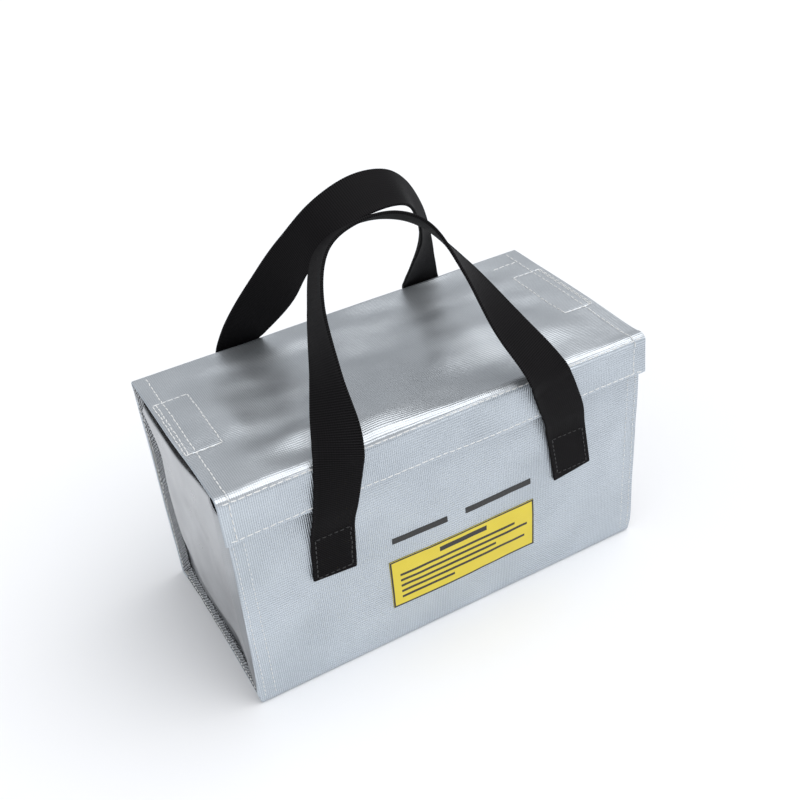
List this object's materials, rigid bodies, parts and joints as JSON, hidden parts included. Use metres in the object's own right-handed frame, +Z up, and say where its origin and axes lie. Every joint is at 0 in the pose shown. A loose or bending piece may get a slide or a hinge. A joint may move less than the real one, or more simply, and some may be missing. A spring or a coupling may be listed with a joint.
{
  "type": "battery safe bag",
  "caption": "Box-shaped carrying bag of silver coated glass-fibre cloth, with a hinged lid, a front closing flap, fold-in end flaps and two black webbing handles.",
  "frame": {"origin": "middle of the face that the bag rests on", "axes": "+X along the bag, its longest side, to the right seen from the front; -Y towards the front panel with the flap and the label; +Z up"},
  "size_m": [0.264, 0.1441, 0.2433],
  "materials": {
    "silver_cloth": "aluminium-coated glass-fibre weave, satin silver with fine crosswise ribs",
    "silver_lid_cloth": "the same coated weave, a little darker and glossier on the lid",
    "silver_seam_edge": "turned and stitched edge of the coated weave, darker grey",
    "hook_tape": "black hook tape, matt",
    "loop_tape": "black loop tape, matt",
    "label_film": "yellow printed film with a thin black border and plain bars",
    "black_webbing": "black woven webbing with fine crosswise ribs, matt",
    "white_thread": "white sewing thread",
    "dark_thread": "dark grey sewing thread"
  },
  "bodies": {
    "bag": {"front_panel": "silver_cloth", "rear_panel": "silver_cloth", "bottom_panel": "silver_cloth", "left_end_panel": "silver_cloth", "right_end_panel": "silver_cloth", "left_front_seam": "silver_seam_edge", "right_front_seam": "silver_seam_edge", "left_rear_seam": "silver_seam_edge", "right_rear_seam": "silver_seam_edge", "left_bottom_seam": "silver_seam_edge", "right_bottom_seam": "silver_seam_edge", "front_closure_loop_tape": "loop_tape", "front_label": "label_film", "front_left_handle_patch": "black_webbing", "front_right_handle_patch": "black_webbing", "rear_left_handle_patch": "black_webbing", "rear_right_handle_patch": "black_webbing"},
    "lid": {"lid_panel": "silver_lid_cloth", "left_lid_hook_patch": "hook_tape", "right_lid_hook_patch": "hook_tape"},
    "front_flap": {"front_flap_panel": "silver_cloth", "front_flap_hook_tape": "hook_tape"},
    "left_end_flap": {"left_end_flap": "silver_cloth", "left_end_flap_loop_patch": "loop_tape"},
    "right_end_flap": {"right_end_flap": "silver_cloth", "right_end_flap_loop_patch": "loop_tape"},
    "front_handle_legs": {"front_left_handle_leg": "black_webbing", "front_right_handle_leg": "black_webbing"},
    "front_handle_arch": {"front_left_handle_rise": "black_webbing", "front_handle_grip": "black_webbing", "front_right_handle_rise": "black_webbing"},
    "rear_handle_legs": {"rear_left_handle_leg": "black_webbing", "rear_right_handle_leg": "black_webbing"},
    "rear_handle_arch": {"rear_left_handle_rise": "black_webbing", "rear_handle_grip": "black_webbing", "rear_right_handle_rise": "black_webbing"}
  },
  "joints": [
    {"name": "lid_hinge", "type": "hinge", "parent": "bag", "child": "lid", "pos_m": [0, 0.065, 0.14785], "axis": [-1, 0, 0], "range_deg": [0, 110]},
    {"name": "front_flap_hinge", "type": "hinge", "parent": "lid", "child": "front_flap", "pos_m": [0, -0.0694, 0.14785], "axis": [-1, 0, 0], "range_deg": [0, 55]},
    {"name": "left_end_flap_hinge", "type": "hinge", "parent": "bag", "child": "left_end_flap", "pos_m": [-0.13, 0, 0.14345], "axis": [0, -1, 0], "range_deg": [0, 88]},
    {"name": "right_end_flap_hinge", "type": "hinge", "parent": "bag", "child": "right_end_flap", "pos_m": [0.13, 0, 0.14345], "axis": [0, 1, 0], "range_deg": [0, 88]},
    {"name": "front_handle_lower_bend", "type": "hinge", "parent": "bag", "child": "front_handle_legs", "pos_m": [0, -0.0704, 0.107], "axis": [1, 0, 0], "range_deg": [0, 110]},
    {"name": "front_handle_fold", "type": "hinge", "parent": "front_handle_legs", "child": "front_handle_arch", "pos_m": [0, -0.0737, 0.15615], "axis": [1, 0, 0], "range_deg": [0, 75]},
    {"name": "rear_handle_lower_bend", "type": "hinge", "parent": "bag", "child": "rear_handle_legs", "pos_m": [0, 0.0683, 0.107], "axis": [-1, 0, 0], "range_deg": [0, 99]},
    {"name": "rear_handle_fold", "type": "hinge", "parent": "rear_handle_legs", "child": "rear_handle_arch", "pos_m": [0, 0.0704, 0.15615], "axis": [-1, 0, 0], "range_deg": [0, 75]}
  ],
  "couplings": [
    {"joint": "front_flap_hinge", "follows": "lid_hinge", "ratio": 0.5},
    {"joint": "left_end_flap_hinge", "follows": "lid_hinge", "ratio": 0.8},
    {"joint": "right_end_flap_hinge", "follows": "lid_hinge", "ratio": 0.8},
    {"joint": "front_handle_lower_bend", "follows": "lid_hinge", "ratio": 1},
    {"joint": "rear_handle_lower_bend", "follows": "lid_hinge", "ratio": 0.9}
  ]
}
